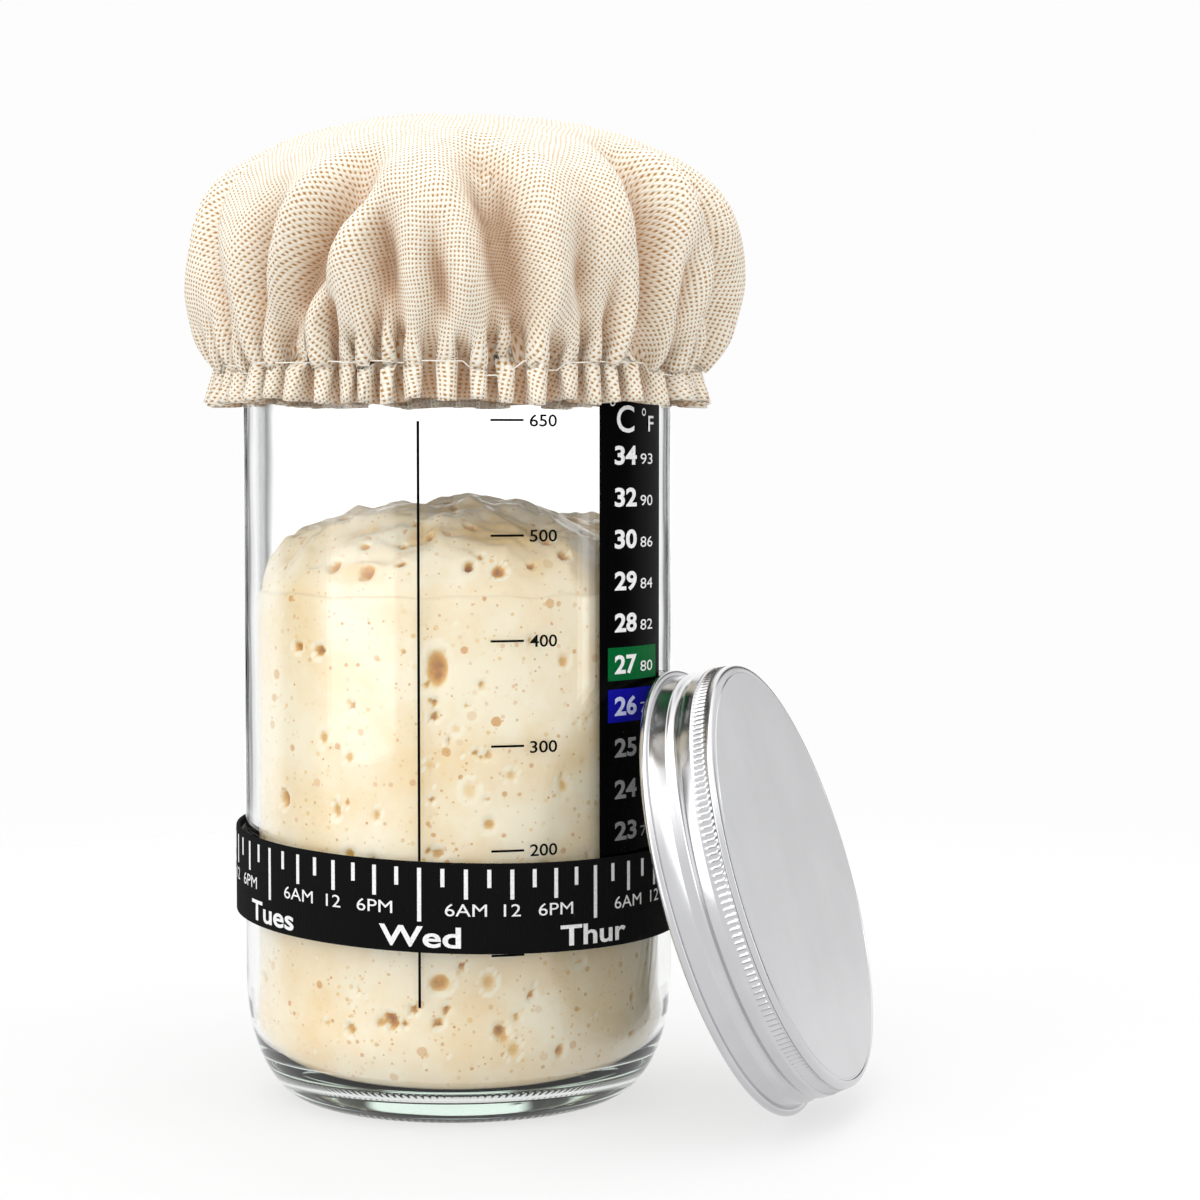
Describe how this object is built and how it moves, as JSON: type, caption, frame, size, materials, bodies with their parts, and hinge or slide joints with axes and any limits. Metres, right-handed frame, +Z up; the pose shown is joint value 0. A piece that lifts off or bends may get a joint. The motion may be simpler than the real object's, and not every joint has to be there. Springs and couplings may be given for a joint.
{
  "type": "sourdough starter jar",
  "caption": "Glass jar of risen sourdough starter with a gathered cloth cover, a day band that turns and slides, a strip thermometer and a screw lid leaning on it",
  "frame": {"origin": "centre of the jar's foot, on the surface it stands on", "axes": "+Z up along the jar's axis, -Y to the front, where the pointer line and the volume ticks are, +X to the right, where the lid leans"},
  "size_m": [0.1402, 0.1174, 0.1956],
  "materials": {
    "glass": "clear, smooth, with a faint green tint in the thick foot",
    "starter": "moist dough with bubbles",
    "black_ink": "printed",
    "black_film": "glossy film",
    "dark_cell": "glossy",
    "blue_cell": "glossy",
    "green_cell": "glossy",
    "cotton": "open plain weave, natural cotton",
    "white_elastic": "woven elastic",
    "cotton_thread": "sewing thread",
    "band_rubber": "smooth",
    "black_webbing": "ribbed woven elastic",
    "white_yarn": "woven in",
    "black_thread": "sewing thread",
    "aluminium": "satin",
    "liner_foam": "smooth foam"
  },
  "bodies": {
    "jar": {"glass_jar": "glass", "sourdough_starter": "starter", "pointer_line": "black_ink", "volume_ticks": "black_ink", "thermometer_film": "black_film", "thermometer_cells": "dark_cell", "thermometer_blue_cell": "blue_cell", "thermometer_green_cell": "green_cell"},
    "cloth_cover": {"cover_cloth": "cotton", "cover_elastic": "white_elastic", "cover_stitches": "cotton_thread"},
    "band_core": {"band_rubber": "band_rubber"},
    "day_band": {"band_webbing": "black_webbing", "band_marks": "white_yarn", "band_seam_lap": "black_webbing", "band_seam_stitches": "black_thread"},
    "lid": {"screw_lid": "aluminium", "lid_liner": "liner_foam"}
  },
  "joints": [
    {"name": "cover_lift", "type": "slide", "parent": "jar", "child": "cloth_cover", "axis": [0, 0, 1], "range_m": [0, 0.06]},
    {"name": "band_slide", "type": "slide", "parent": "jar", "child": "band_core", "axis": [0, 0, 1], "range_m": [-0.009, 0.024]},
    {"name": "band_turn", "type": "hinge", "parent": "band_core", "child": "day_band", "pos_m": [0, 0, 0.0445], "axis": [0, 0, 1], "continuous": true},
    {"name": "lid_pull", "type": "slide", "parent": "jar", "child": "lid", "axis": [0.9106, -0.2836, 0.3007], "range_m": [0, 0.12]}
  ]
}
